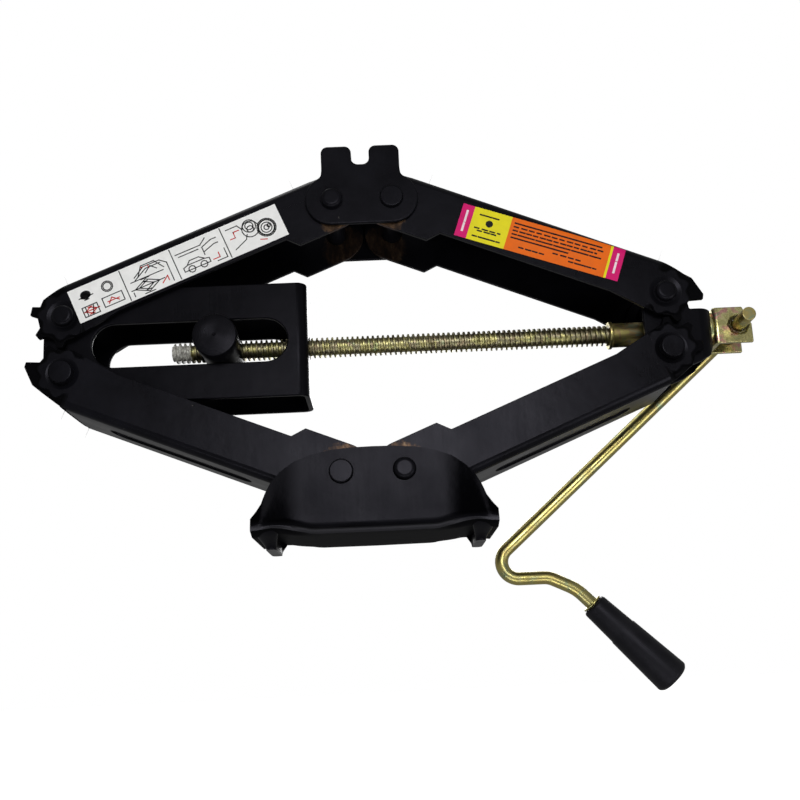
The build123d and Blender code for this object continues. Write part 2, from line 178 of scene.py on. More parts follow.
def black_coat(name, worn=(), dimples=(), dusty=1.0, ior=COAT_IOR):
    """Thin satin black electrocoat over pressed steel sheet.

    Fine orange peel 0.8 mm, faint draw lines down the sheet, dusty clouds that lift
    the black, light flecks where it is nicked.  worn: (x, z, radius) where the coat is
    rubbed to brown steel; dimples: (x, z) of rivets with a pressed ring round them.
    """
    material, tree, shader = new_material(name)
    place = place_mm(tree)
    cloud = noise(tree, place, 34.0, 4.0, 0.6)
    draw = noise(tree, place_mm(tree, (1.0, 1.0, 0.05)), 1.1, 3.0, 0.6)
    scratch = noise(tree, place_mm(tree, (0.12, 1.0, 1.0)), 1.5, 4.0, 0.7, 0.4)
    fleck = noise(tree, place, 2.4, 2.0)
    base = blend(tree, remap(tree, cloud, 0.4, 0.75, 0.0, 0.6 * dusty), "#070709", "#111116")
    base = blend(tree, remap(tree, draw, 0.62, 0.75, 0.0, 0.06), base, "#1f1f21")
    base = blend(tree, remap(tree, scratch, 0.72, 0.78, 0.0, 0.5), base, "#3b3a39")
    base = blend(tree, remap(tree, fleck, 0.78, 0.81, 0.0, 0.6), base, "#6a6762")
    rough = maths(tree, "ADD", remap(tree, cloud, 0.3, 0.7, 0.25, 0.37),
                  remap(tree, draw, 0.4, 0.7, -0.01, 0.02))
    if worn:
        ragged = remap(tree, noise(tree, place, 4.0, 5.0, 0.7), 0.0, 1.0, -5.0, 5.0)
        bare = 0.0
        for x, z, radius in worn:
            edge = maths(tree, "ADD", distance_to(tree, x, z), ragged)
            bare = maths(tree, "MAXIMUM", bare, remap(tree, edge, radius, radius - 2.0))
        steel = ramp(tree, noise(tree, place_mm(tree, (1.0, 1.0, 0.4)), 3.0, 5.0, 0.7),
                     [(0.25, "#1a1411"), (0.45, "#33261a"), (0.6, "#523e2c"),
                      (0.75, "#77664f")])
        # The rubbed steel is real wear; fading it to a quarter towards the rear flange (y from -20 to 0
        # mm) is painted shade.
        depth = add_node(tree, "ShaderNodeSeparateXYZ", {0: place}).outputs[1]
        bare = maths(tree, "MULTIPLY", bare, remap(tree, depth, -20.0, 0.0, 1.0, 0.25))
        base = blend(tree, bare, base, steel)
        tree.links.new(maths(tree, "MULTIPLY", bare, 0.3), shader.inputs["Metallic"])
    skin = bump(tree, noise(tree, place, 0.8, 2.0), 0.008)
    skin = bump(tree, cloud, 0.35, skin)
    for x, z in dimples:
        ring = remap(tree, distance_to(tree, x, z), 6.9, 9.4)
        skin = bump(tree, ring, 0.7, skin)
    shader.inputs["IOR"].default_value = ior
    shader.inputs["Specular Tint"].default_value = COAT_TINT
    tree.links.new(base, shader.inputs["Base Color"])
    tree.links.new(rough, shader.inputs["Roughness"])
    tree.links.new(skin, shader.inputs["Normal"])
    return material


def overlay(tree, shader, mask, colour, rough, ior):
    """Where mask is 1 the coat takes this colour, roughness and IOR: old + mask (new-old)."""
    old = shader.inputs["Base Color"].links[0].from_socket
    tree.links.new(blend(tree, mask, old, colour), shader.inputs["Base Color"])
    for key, new in (("Roughness", rough), ("IOR", ior)):
        socket = shader.inputs[key]
        old = socket.links[0].from_socket if socket.is_linked else socket.default_value
        change = maths(tree, "MULTIPLY", mask, maths(tree, "SUBTRACT", new, old))
        tree.links.new(maths(tree, "ADD", old, change), socket)


def shader_of(material):
    """The material's tree and its Principled shader."""
    tree = material.node_tree
    return tree, next(n for n in tree.nodes if n.type == "BSDF_PRINCIPLED")


def new_piece(name, points, faces, material, body, slot, smooth=40.0):
    """Mesh piece from points in mm (n,3) and faces; shading splits above smooth degrees."""
    mesh = bpy.data.meshes.new(name)
    corners = [list(map(int, face)) for face in faces]
    mesh.from_pydata((np.asarray(points, float) * MM).tolist(), [], corners)
    mesh.polygons.foreach_set("use_smooth", np.ones(len(mesh.polygons), bool))
    mesh.set_sharp_from_angle(angle=math.radians(smooth))
    mesh.materials.append(material)
    piece = bpy.data.objects.new(name, mesh)
    bpy.context.scene.collection.objects.link(piece)
    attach(piece, body)
    return piece


def grid_faces(rows, columns, wrap=False, start=0):
    """Quads of a rows x columns grid of points; wrap joins the last column to the first."""
    spans = columns if wrap else columns - 1
    r, c = np.meshgrid(np.arange(rows - 1), np.arange(spans), indexing="ij")
    n = (c + 1) % columns
    quads = np.stack([r * columns + c, r * columns + n,
                      (r + 1) * columns + n, (r + 1) * columns + c], -1)
    return quads.reshape(-1, 4) + start


def rounded(piece, width, segments=3, angle=32.0):
    """Round every edge sharper than angle degrees by width mm."""
    weld = piece.modifiers.new("joined points", "WELD")
    weld.merge_threshold = 0.00001
    flat = piece.modifiers.new("whole faces", "DECIMATE")
    flat.decimate_type = "DISSOLVE"
    flat.angle_limit = math.radians(1.0)
    bevel = piece.modifiers.new("rounded edges", "BEVEL")
    bevel.width = width * MM
    bevel.segments = segments
    bevel.limit_method = "ANGLE"
    bevel.angle_limit = math.radians(angle)
    bevel.harden_normals = True
    bevel.use_clamp_overlap = False
    return piece


def smooth_step(value, low, high):
    """3t^2-2t^3 with t = (value-low)/(high-low) held to 0..1."""
    t = np.clip((value - low) / (high - low), 0.0, 1.0)
    return t * t * (3.0 - 2.0 * t)


# Heights (x, z above the base pins) of the plate's arched top and of the lip's crest.
ARCH = np.array([(0.0, 13.4), (12.0, 13.2), (24.0, 12.2), (35.0, 9.8), (44.0, 6.2), (51.0, 0.8),
                 (56.0, -4.8), (59.5, -11.5), (61.5, -17.0), (64.5, -21.5), (67.5, -25.0)])
CREST = np.array([(0.0, -33.6), (34.0, -33.4), (42.0, -31.6), (50.0, -29.8), (56.0, -29.6),
                  (64.0, -31.0), (67.5, -31.4)])
PLATE_OUT, BASE_SHEET, LIP_OUT = 27.9, 3.0, 31.2
BASE_END = 67.5
stations = np.concatenate([np.linspace(-BASE_END, -40, 24), np.linspace(-38, 38, 27),
                           np.linspace(40, BASE_END, 24)])


def foot_section(x):
    """Half section (y, z) of the base at x: down the plate, over the lip, under the floor.

    The plate leans out by flare = 5.2 w^1.5 (1 - 0.25 t), with w = (|x| - 38) / 24 held
    to 0..1 and t the height up the plate from lip to arch: each end is a funnel.
    Below it six points curl out to the crest, then the floor runs in to y = 0.  Gives
    the outer and the inner side of the sheet.
    """
    top = np.interp(abs(x), ARCH[:, 0], ARCH[:, 1])
    crest = np.interp(abs(x), CREST[:, 0], CREST[:, 1])
    spread = 5.2 * min(max((abs(x) - 38.0) / 24.0, 0.0), 1.0) ** 1.5
    t = np.linspace(1.0, 0.0, 9)
    wall_low = crest + 6.0 - 4.5 * smooth_step(abs(x), 50.0, 67.0)
    z = wall_low + (top - wall_low) * t
    y = PLATE_OUT + spread * (1.0 - 0.25 * t)
    lip = LIP_OUT + 2.0 * smooth_step(abs(x), 42.0, 62.0) - PLATE_OUT - spread
    curl_y = y[-1] + max(lip, 0.0) * np.array([0.04, 0.22, 0.62, 0.92, 1.0, 0.8])
    fade = np.interp(abs(x), [50.0, 67.0], [1.0, 0.45])
    curl_z = crest + np.array([4.3, 3.0, 1.9, 1.1, 0.0, -1.1]) * fade
    under = crest - 1.2 - 1.8 * smooth_step(abs(x), 30.0, 50.0)
    outer = np.concatenate([np.column_stack([y, z]), np.column_stack([curl_y, curl_z]),
                            [(PLATE_OUT - 2.0, under), (PLATE_OUT - 8.0, under), (0.0, under)]])
    inner_y = np.concatenate([y - BASE_SHEET, np.full(4, y[-1]) - BASE_SHEET])
    inner_z = np.concatenate([z, wall_low - np.array([1.2, 1.9, 2.2, 2.3])])
    inner_z = np.maximum(inner_z, under + BASE_SHEET)
    inner = np.concatenate([np.column_stack([inner_y, inner_z]),
                            [(PLATE_OUT - BASE_SHEET - 2.5, under + BASE_SHEET)],
                            [(0.0, under + BASE_SHEET)]])
    return outer, inner


foot_loops = []
for x in stations:
    outer, inner = foot_section(x)
    loop = np.concatenate([outer * (-1, 1), outer[-2::-1], inner[:-1], (inner * (-1, 1))[::-1]])
    foot_loops.append(np.column_stack([np.full(len(loop), x), loop[:, 0], loop[:, 1] + BASE_Z]))
foot_points = np.concatenate(foot_loops)
around = len(foot_loops[0])
foot_faces = list(grid_faces(len(stations), around, wrap=True))
foot_faces += [np.arange(around)[::-1], np.arange(around) + (len(stations) - 1) * around]

# Painted shade darkens the flared wings (with a glossier coat) and the faces that look down; a painted
# highlight lightens the rolled crest.
base_coat = black_coat("base_coat", dusty=0.8, ior=1.155)
base_tree, base_shader = shader_of(base_coat)
base_where = add_node(base_tree, "ShaderNodeSeparateXYZ", {0: place_mm(base_tree)})
# Painted shade: the flared wings above z = 14 mm are darkened to #020203.
wing_painted_shade = remap(base_tree, maths(base_tree, "ABSOLUTE", base_where.outputs[0]), 35.0, 48.0)
wing_painted_shade = maths(base_tree, "MULTIPLY", wing_painted_shade, remap(base_tree, base_where.outputs[2], 11.0, 14.0))
overlay(base_tree, base_shader, wing_painted_shade, "#020203", 0.18, 1.07)
base_normal = add_node(base_tree, "ShaderNodeTexCoord").outputs["Normal"]
base_facing = add_node(base_tree, "ShaderNodeSeparateXYZ", {0: base_normal})
# Painted highlight: the rolled crest low on the plate is lightened to #2c2c2e.
crest_side = remap(base_tree, maths(base_tree, "ABSOLUTE", base_where.outputs[1]), 29.4, 30.8)
crest_painted_highlight = maths(base_tree, "MULTIPLY", remap(base_tree, base_where.outputs[2], 11.5, 9.5), crest_side)
overlay(base_tree, base_shader, maths(base_tree, "MULTIPLY", crest_painted_highlight, 0.8), "#2c2c2e", 0.34, 1.3)
# Painted shade: faces whose normal looks down are darkened to #050507.
below = remap(base_tree, base_facing.outputs[2], -0.35, -0.8)
overlay(base_tree, base_shader, below, "#050507", 0.5, 1.05)
base_skin = new_piece("base_pressing", foot_points, foot_faces, base_coat, "base", "black_coat", 35.0)
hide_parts("base")

# Half outlines (x, y) of a skirt under the lip and at the ground.
SKIRT_TOP = np.array([(66.0, 20.0), (65.8, 30.0), (57.0, 30.8), (53.0, 27.0), (56.5, 20.0)])
SKIRT_FOOT = np.array([(61.4, 9.0), (61.1, 14.6), (58.6, 16.4), (55.6, 14.4), (56.0, 9.0)])
SKIRT_Z = np.array([10.5, 9.4, 8.2, 7.0, 5.8, 4.6, 3.4, 2.4, 1.5, 0.8, 0.3])
SKIRT_SIDES = 60


def closed_curve(control, steps=6):
    """Catmull-Rom curve round the control points p, with t from 0 to 1 between p1 and p2.

    (2 p1 + (p2-p0) t + (2p0-5p1+4p2-p3) t^2 + (3p1-p0-3p2+p3) t^3) / 2.
    """
    p0, p1, p2, p3 = (np.roll(control, s, axis=0)[:, None] for s in (1, 0, -1, -2))
    t = np.linspace(0.0, 1.0, steps, endpoint=False)[None, :, None]
    curve = 2 * p1 + (p2 - p0) * t + (2 * p0 - 5 * p1 + 4 * p2 - p3) * t ** 2
    curve = curve + (3 * p1 - p0 - 3 * p2 + p3) * t ** 3
    return curve.reshape(-1, 2) / 2.0


skirt_coat = black_coat("skirt_coat", dusty=1.2, ior=1.17)
for side, label in ((-1, "left"), (1, "right")):
    levels = []
    for height in SKIRT_Z:
        share = smooth_step(10.5 - height, 0.0, 10.2)
        half = SKIRT_TOP * (1.0 - share) + SKIRT_FOOT * share
        outline = closed_curve(np.concatenate([half * (side, -1), (half * (side, 1))[::-1]]))
        levels.append(np.column_stack([outline, np.full(len(outline), height)]))
    last = (len(SKIRT_Z) - 1) * SKIRT_SIDES
    skirt_faces = list(grid_faces(len(SKIRT_Z), SKIRT_SIDES, wrap=True))
    skirt_faces += [np.arange(SKIRT_SIDES)[::-1], np.arange(SKIRT_SIDES) + last]
    if side < 0:
        skirt_faces = [f[::-1] for f in skirt_faces]
    new_piece("base_skirt_" + label, np.concatenate(levels), skirt_faces, skirt_coat, "base",
              "black_coat", 60.0)

# ================================================================ arms
# Four pressed steel channels, 2.5 mm sheet, toothed at the knuckle and round at the
# foot.  Black electrocoat; rubbed to brown steel where the eyes turn in base and saddle.
# Knuckle pins hold them to the yokes, base and saddle pins at the feet.
lower_coat = black_coat("lower_arm_coat", dusty=1.3,
                        worn=[(s * 15.5, BASE_Z, 17.0) for s in (-1, 1)],
                        dimples=[(s * KNUCKLE_X, LOWER_Z) for s in (-1, 1)])
upper_coat = black_coat("upper_arm_coat", dusty=0.8,
                        worn=[(s * 12.0, SADDLE_Z - 8.0, 14.5) for s in (-1, 1)],
                        dimples=[(s * KNUCKLE_X, UPPER_Z) for s in (-1, 1)])


def tooth_rim(material, side, level, phase):
    """Coined front of a gear sector: the face ends short of the teeth, and the rim steps down with
    painted shade on it.

    About the knuckle, with u towards the foot and v to the screw, r = sqrt(u^2+v^2) and
    f = atan2(v, u), the face ends at r = 13.2 + 1.2 cos 8(f - phase), where u < 7 mm.
    """
    tree, shader = shader_of(material)
    split = add_node(tree, "ShaderNodeSeparateXYZ", {0: place_mm(tree)})
    dx = maths(tree, "SUBTRACT", split.outputs[0], side * KNUCKLE_X)
    dz = maths(tree, "SUBTRACT", split.outputs[2], LOWER_Z if level < 0 else UPPER_Z)
    c, s = math.cos(SLOPE), math.sin(SLOPE)
    u = maths(tree, "ADD", maths(tree, "MULTIPLY", dx, -side * c),
              maths(tree, "MULTIPLY", dz, level * s))
    v = maths(tree, "ADD", maths(tree, "MULTIPLY", dx, -side * s),
              maths(tree, "MULTIPLY", dz, -level * c))
    r = maths(tree, "SQRT", maths(tree, "ADD", maths(tree, "MULTIPLY", u, u),
                                  maths(tree, "MULTIPLY", v, v)))
    turn = maths(tree, "SUBTRACT", maths(tree, "ARCTAN2", v, u), math.radians(phase))
    wave = maths(tree, "MULTIPLY", maths(tree, "COSINE", maths(tree, "MULTIPLY", turn, 8.0)), 1.2)
    past = maths(tree, "SUBTRACT", maths(tree, "SUBTRACT", r, 13.2), wave)
    near = maths(tree, "MULTIPLY", remap(tree, u, 8.5, 5.5), remap(tree, r, 30.0, 26.0))
    rim = maths(tree, "MULTIPLY", remap(tree, past, -0.5, 1.1), near)
    old = shader.inputs["Normal"].links[0].from_socket
    tree.links.new(bump(tree, maths(tree, "SUBTRACT", 1.0, rim), 2.2, old), shader.inputs["Normal"])
    # Painted shade: the rim below the step is darkened to #030303.
    overlay(tree, shader, maths(tree, "MULTIPLY", rim, 0.8), "#030303", 0.4, 1.08)


for name, finish, side, level, phase in (
    ("lower_left_arm", lower_coat, -1, -1, 140.9), ("lower_right_arm", lower_coat, 1, -1, 109.4),
    ("upper_left_arm", upper_coat, -1, 1, 118.4), ("upper_right_arm", upper_coat, 1, 1, 131.9),
):
    tooth_rim(finish, side, level, phase)
    nodes[name].data.materials.clear()
    nodes[name].data.materials.append(finish)
    rounded(nodes[name], 0.4)

# ================================================================ instruction label
# White vinyl sticker on the upper left arm, 130 x 21 mm, with four generic line
# pictograms of using a jack, parted by thin rules.  It lies flat on the flange.
ARM_FACE = -24.5


def arm_point(side, u, v, lift=0.0, bend=None):
    """Row-frame points (mm) from arm coordinates: u from the knuckle, v to the screw.

    P = K + u U + v V on the front flange, lift mm proud.  Beyond v = bend the point
    follows the arm's 4.5 mm corner: with a = (bend-v)/4.5, v -> bend - 4.5 sin a and
    the surface falls back by 4.5 (1 - cos a).
    """
    u, v = np.broadcast_arrays(np.asarray(u, float), np.asarray(v, float))
    y = np.full(u.shape, ARM_FACE - lift)
    if bend is not None:
        turn = np.clip((bend - v) / 4.5, 0.0, 1.5)
        v = np.where(turn > 0, bend - (4.5 + lift) * np.sin(turn), v)
        y = y + (4.5 + lift) * (1.0 - np.cos(turn))
    x = side * KNUCKLE_X - side * math.cos(SLOPE) * u - side * math.sin(SLOPE) * v
    z = UPPER_Z + math.sin(SLOPE) * u - math.cos(SLOPE) * v
    return np.stack([x, y, z], -1)


def vinyl(name, colour, gloss=0.35):
    """Printed vinyl film: the flat ink colour, faint mottle 6 mm, satin film, 0.5 mm ripple."""
    material, tree, shader = new_material(name)
    place = place_mm(tree)
    mottle = remap(tree, noise(tree, place, 6.0, 3.0), 0.3, 0.7, 0.0, 0.10)
    tree.links.new(blend(tree, mottle, colour, "#3a3838"), shader.inputs["Base Color"])
    tree.links.new(remap(tree, mottle, 0.0, 0.1, gloss, gloss + 0.12), shader.inputs["Roughness"])
    shader.inputs["IOR"].default_value = 1.25
    tree.links.new(bump(tree, noise(tree, place, 9.0, 2.0), 0.12), shader.inputs["Normal"])
    return material


nodes["instruction_label"].data.materials.clear()
nodes["instruction_label"].data.materials.append(vinyl("white_vinyl", "#f4f4f2"))
ink_black, ink_red = vinyl("black_ink", "#0b0b0d"), vinyl("red_ink", "#c81810")


def stroke_mesh(paths, width, lift, to_arm):
    """Points and quads of flat strokes width mm wide along polylines given in label mm."""
    points, faces = [], []
    for path in paths:
        p = np.asarray(path, float)
        step = np.diff(p, axis=0)
        step /= np.maximum(np.linalg.norm(step, axis=1, keepdims=True), 1e-9)
        for a, b, d in zip(p[:-1], p[1:], step):
            across = np.array([-d[1], d[0]]) * width / 2.0
            along = d * width / 2.0
            corners = np.array([a - along - across, b + along - across,
                                b + along + across, a - along + across])
            faces.append(np.arange(4) + len(points))
            points.extend(to_arm(corners, lift))
    return np.array(points), faces


def ring(x, y, radius, count=14, start=0.0, turn=360.0):
    """Polyline of count chords round part of a circle."""
    a = np.radians(np.linspace(start, start + turn, count + 1))
    return np.column_stack([x + radius * np.cos(a), y + radius * np.sin(a)])


def on_left(corners, lift):
    """Label mm (x right along the label, y up from its lower edge) to the left arm's face."""
    return arm_point(-1, 7.4 + corners[:, 0], 8.3 - corners[:, 1], lift)


def shift(paths, x, y, grow=1.0):
    """The polylines grown and moved."""
    return [np.asarray(p, float) * grow + (x, y) for p in paths]


# Polylines in label mm.  Small drawings first, then the four panels with their rules.
JACK = [[(0, 0), (5, 2.6), (10, 0)], [(0, 0), (5, -2.6), (10, 0)], [(-1.5, 0), (12, 0)],
        [(3.4, 3.0), (6.6, 3.0)], [(3, -3.0), (7, -3.0)]]
CAR = [[(0, 0), (0, 3), (3, 4), (6, 7), (13, 7), (17, 4), (20, 3.4), (20, 0), (0, 0)],
       [(4, 4.2), (16, 4.2)]]
black_paths = [[(31.5, 0.8), (31.5, 20.2)], [(62.5, 0.8), (62.5, 20.2)], [(94.0, 0.8), (94.0, 20.2)]]
black_paths += shift(JACK, 5.5, 13.8, 0.62)
black_paths += shift([ring(0, 0, 3.2), ring(0, 0, 2.4)], 22.0, 14.6)
black_paths += [[(16.5, 3), (16.5, 8.8), (28.5, 8.8), (28.5, 3), (16.5, 3)]]
black_paths += shift(JACK, 38.5, 5.6, 0.9)
black_paths += shift([[(0, 0), (8, 4.5), (17, 4.5)], [(0, 1.6), (7, 6), (17, 6)]], 38, 11)
black_paths += shift(CAR, 66.0, 3.6, 0.8)
black_paths += shift([ring(0, 0, 2.0, 10)], 70.5, 3.8) + shift([ring(0, 0, 2.0, 10)], 78.0, 3.8)
black_paths += shift([[(0, 0), (0, 6), (8, 9), (12, 9)], [(0, 2), (9, 5), (12, 5)]], 80.5, 9.0, 0.8)
black_paths += shift([ring(0, 0, 4.6, 18), ring(0, 0, 3.2, 16), ring(1.6, 0.6, 1.0, 8)], 119.5, 9.5)
black_paths += shift([ring(0, 0, 3.9, 16), ring(0, 0, 2.4, 12)], 110.5, 14.5)
black_paths += [[(98, 4), (106, 7.4), (107.5, 10)]]
black_paths += shift(JACK, 36.0, 5.6, 1.5)
black_paths += [[(35, 10.5), (55, 10.5)], [(40, 12), (44, 18), (52, 18), (56, 12)]]
black_paths += [[(34.5, 1.8), (34.5, 4.2)], [(58.5, 1.8), (58.5, 14.0), (55, 17)]]
black_paths += [[(45, 13), (49, 16), (52, 13)], [(64.5, 15.5), (80, 15.5), (84, 18.5)]]
black_paths += [[(66, 13.6), (78, 13.6)], [(86, 2.2), (92, 2.2), (92, 8)]]
black_paths += shift([ring(0, 0, 5.6, 20), ring(0, 0, 4.9, 20), ring(0, 0, 1.5, 10)], 119.5, 9.5)
black_paths += shift([ring(0, 0, 2.0, 10), ring(0, 0, 5.0, 18)], 110.5, 12.5)
black_paths += [[(97, 17.5), (104, 17.5), (106, 14)]]
black_paths += [[(4, 2), (4, 8), (13, 8), (13, 2), (4, 2)], [(6, 2), (6, 8)], [(9, 2), (11, 8)]]
red_paths = shift(JACK, 5.0, 5.0, 0.72)
red_paths += [[(19.5, 4.4), (22, 7.4), (25.6, 4.4)], [(19, 5.6), (26, 5.6)]]
red_paths += [[(44, 17), (48, 17), (48, 15)], [(52, 3.0), (56, 6.2), (56, 3.2)]]
red_paths += [[(97.5, 11), (100.5, 11), (100.5, 14.6), (104, 14.6)], [(113.5, 4.0), (117.0, 2.6)]]
red_paths += [[(84, 4), (88, 4), (88, 7)]]
INK_LIFT = 0.17
for name, paths, ink, width in (("pictograms_black", black_paths, ink_black, 0.6),
                                ("pictograms_red", red_paths, ink_red, 0.62)):
    points, faces = stroke_mesh(paths, width, INK_LIFT, on_left)
    new_piece(name, points, faces, ink, "upper_left_arm", "label_white")
spot = ring(8.8, 15.0, 2.5, 16)[:-1] * (1.25, 1.0) - (2.2, 0)
new_piece("pictogram_spot", on_left(spot, INK_LIFT), [np.arange(16)], ink_black, "upper_left_arm",
          "label_white")

# ================================================================ rating label
# Coloured vinyl sticker on the upper right arm, 98 x 21 mm, stuck on 3 degrees askew
# so that one corner wraps onto the arm's bend.  Plain bands and bars; no words.
TILT = math.atan2(5.0, 98.1)
PINK, YELLOW, ORANGE = "#d4106c", "#e8dc1c", "#ea6a0c"
LABEL_LONG, LABEL_HIGH = 98.4, 20.8
BANDS = [(0.0, 7.2, PINK), (7.2, 8.6, YELLOW), (8.6, 68.5, ORANGE), (68.5, 91.2, YELLOW),
         (91.2, LABEL_LONG, PINK)]


def on_right(corners, lift):
    """Label mm (x from the knuckle end, y from the outer edge) to the right arm's face."""
    a, b = corners[:, 0], corners[:, 1] - LABEL_HIGH / 2.0
    u = 28.5 + a * math.cos(TILT) - b * math.sin(TILT)
    v = -6.6 + a * math.sin(TILT) + b * math.cos(TILT)
    return arm_point(1, u, v, lift, bend=-14.0)


label_inks = {c: vinyl("label_" + c[1:], c) for c in (PINK, YELLOW, ORANGE)}
strips, strip_faces, strip_ink = [], [], []
for start, end, colour in BANDS:
    a, b = np.meshgrid(np.linspace(start, end, 14), np.linspace(0.0, LABEL_HIGH, 25), indexing="ij")
    flat = np.column_stack([a.ravel(), b.ravel()])
    strip_faces.extend(grid_faces(14, 25, start=len(strips))[:, ::-1])
    strip_ink += [list(label_inks).index(colour)] * (13 * 24)
    strips.extend(on_right(flat, 0.12))
rating = new_piece("rating_film", np.array(strips), strip_faces, label_inks[PINK],
                   "upper_right_arm", "label_colour")
for colour in list(label_inks)[1:]:
    rating.data.materials.append(label_inks[colour])
rating.data.polygons.foreach_set("material_index", np.array(strip_ink, np.int32))
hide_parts("rating_label")

# Rows of dashes (from, to, height) in label mm, standing in for print.
bars = [(66.0, 66 - w, 3.2 + 2.3 * i) for i, w in enumerate((52, 55, 50, 54, 34))]
bars += [(40, 24, 14.9), (60, 44, 17.2), (30, 14, 17.2), (87, 76, 4.0)]
bars += [(88, 73, 12.6), (86, 75, 14.0), (88, 72, 17.8)]
dashes = []
for row, (near_x, far_x, high) in enumerate(bars):
    stops = np.arange(near_x, far_x, -(3.1 + (row * 7 % 4) * 0.5))
    dashes += [[(x, high), (max(x - 2.3 - (i * 5 % 3) * 0.3, far_x), high)]
               for i, x in enumerate(stops)]
PRINT_LIFT = 0.15
points, faces = stroke_mesh(dashes, 0.95, PRINT_LIFT, on_right)
new_piece("rating_bars", points, faces, ink_black, "upper_right_arm", "label_colour")
white_marks = [[(3.6, 4.5), (3.6, 8.2)], [(3.6, 10.0), (3.6, 16.0)], [(94.8, 4.0), (94.8, 10.5)],
               [(94.8, 12.0), (94.8, 16.4)]]
points, faces = stroke_mesh(white_marks, 1.3, PRINT_LIFT, on_right)
new_piece("rating_marks", points, faces, vinyl("white_ink", "#f0dce4"), "upper_right_arm",
          "label_colour")
emblem = ring(80.5, 8.3, 2.2, 12)[:-1]
new_piece("rating_emblem", on_right(emblem, PRINT_LIFT), [np.arange(12)], ink_black, "upper_right_arm",
          "label_colour")

# ================================================================ saddle
# Pressed steel cap, 2.5 mm sheet, with two horns and a notch for the sill flange.
# Black electrocoat; the saddle pins hold it to the upper arms.
nodes["saddle"].data.materials.clear()
nodes["saddle"].data.materials.append(black_coat("saddle_coat", dusty=0.9))
rounded(nodes["saddle"], 0.9, 3)

# ================================================================ yokes
# Nut bracket on the left and thrust bracket on the right, bent from 3 mm strap and
# held between the arms by the knuckle pins.  Black electrocoat.
yoke_coat = black_coat("yoke_coat", dusty=0.3, ior=1.16)
for name in ("left_yoke", "right_yoke"):
    nodes[name].data.materials.clear()
    nodes[name].data.materials.append(yoke_coat)
    rounded(nodes[name], 0.8)

# ================================================================ pins and washers
# Eight 12 mm steel rivets, headed on one side and upset on the other, and the spacers
# on the knuckle rivets.  Dusty black coat like the arms they hold.
pin_coat = black_coat("pin_coat", dusty=1.6)
for name in nodes:
    if "_pin_" in name or name.endswith("pivot_washers"):
        nodes[name].data.materials.clear()
        nodes[name].data.materials.append(pin_coat)
        rounded(nodes[name], 0.5, 3, 40.0)

# ================================================================ lead screw
# Steel bar with a 12 x 3 mm trapezoidal thread, turned down for the thrust bracket and
# riveted over the clevis.  Yellow zinc, greasy roots; the leftmost threads are painted.


def yellow_zinc(name, streak=(1.0, 1.0, 1.0), tint="#c9b468", rough=0.26, grime=0.35,
                flush="#b39a70"):
    """Yellow chromate over zinc: gold tint, bloom 9 mm across from green to flush, grime 3 mm."""
    material, tree, shader = new_material(name)
    place = place_mm(tree)
    bloom = noise(tree, place, 9.0, 3.0, 0.6, 0.8)
    dirt = noise(tree, place_mm(tree, streak), 3.2, 5.0, 0.65)
    colour = ramp(tree, bloom, [(0.30, "#8f9a72"), (0.42, "#b0a872"), (0.52, tint), (0.62, flush),
                                (0.72, "#97a584")])
    colour = blend(tree, remap(tree, dirt, 0.5, 0.72, 0.0, grime), colour, "#4a3f22")
    tree.links.new(colour, shader.inputs["Base Color"])
    shader.inputs["Metallic"].default_value = 1.0
    tree.links.new(remap(tree, dirt, 0.3, 0.7, rough, rough + 0.2), shader.inputs["Roughness"])
    fine = bump(tree, noise(tree, place_mm(tree, streak), 0.9, 3.0), 0.03)
    tree.links.new(fine, shader.inputs["Normal"])
    return material, tree, shader


PITCH, CREST_R, ROOT_R = 3.0, 6.0, 4.5
THREAD = (-115.5, 144.0)
SIDES = 28                  # flats round the thread
# Axial breaks of one pitch (fractions) and their radii: crest, flank, root, flank.
breaks = np.array([0.0, 0.30, 0.44, 0.86])
radii = np.array([CREST_R, CREST_R, ROOT_R, ROOT_R])
turns = int((THREAD[1] - THREAD[0]) / PITCH) + 3
step_number = np.arange(turns * SIDES + 1)


def helix():
    """Thread surface: at angle a of turn k the breaks stand at x = start + pitch (a/2pi + k + break).

    Within 1.4 mm of the tip the radius falls from 6 to 4.4 mm.
    """
    along = THREAD[0] - PITCH + PITCH * (step_number[:, None] / SIDES + breaks[None, :])
    angle = np.repeat(2.0 * np.pi * step_number[:, None] / SIDES, 4, axis=1)
    radius = np.repeat(radii[None, :], len(step_number), axis=0)
    near = np.clip((along - THREAD[0]) / 1.4, 0.0, 1.0)
    radius = np.minimum(radius, 4.4 + 1.6 * near)
    along = np.clip(along, *THREAD)
    points = np.stack([along, radius * np.cos(angle), AXIS_Z + radius * np.sin(angle)], -1)
    return points.reshape(-1, 3)


here = 4 * step_number[:-1]
quads = [np.stack([here + i, here + 4 + i, here + 5 + i, here + 1 + i], -1) for i in range(3)]
here = 4 * step_number[:-1 - SIDES]
next_turn = here + 4 * SIDES
quads.append(np.stack([here + 3, here + 7, next_turn + 4, next_turn], -1))
thread_points, thread_faces = helix(), np.concatenate(quads)


def lathe(profile, sides=40):
    """Points and faces of (x, r) profile turned about the screw axis, closed at both ends."""
    p = np.asarray(profile, float)
    a = 2.0 * np.pi * np.arange(sides) / sides
    points = np.stack([np.repeat(p[:, :1], sides, 1), p[:, 1:] * np.cos(a)[None],
                       AXIS_Z + p[:, 1:] * np.sin(a)[None]], -1)
    faces = list(grid_faces(len(p), sides, wrap=True))
    first, last = np.arange(sides), np.arange(sides) + (len(p) - 1) * sides
    return points.reshape(-1, 3), faces + [first[::-1], last]


def joined(parts):
    """Several (points, faces) as one."""
    points, faces, count = [], [], 0
    for p, f in parts:
        points.append(p)
        faces += [np.asarray(face) + count for face in f]
        count += len(p)
    return np.concatenate(points), faces


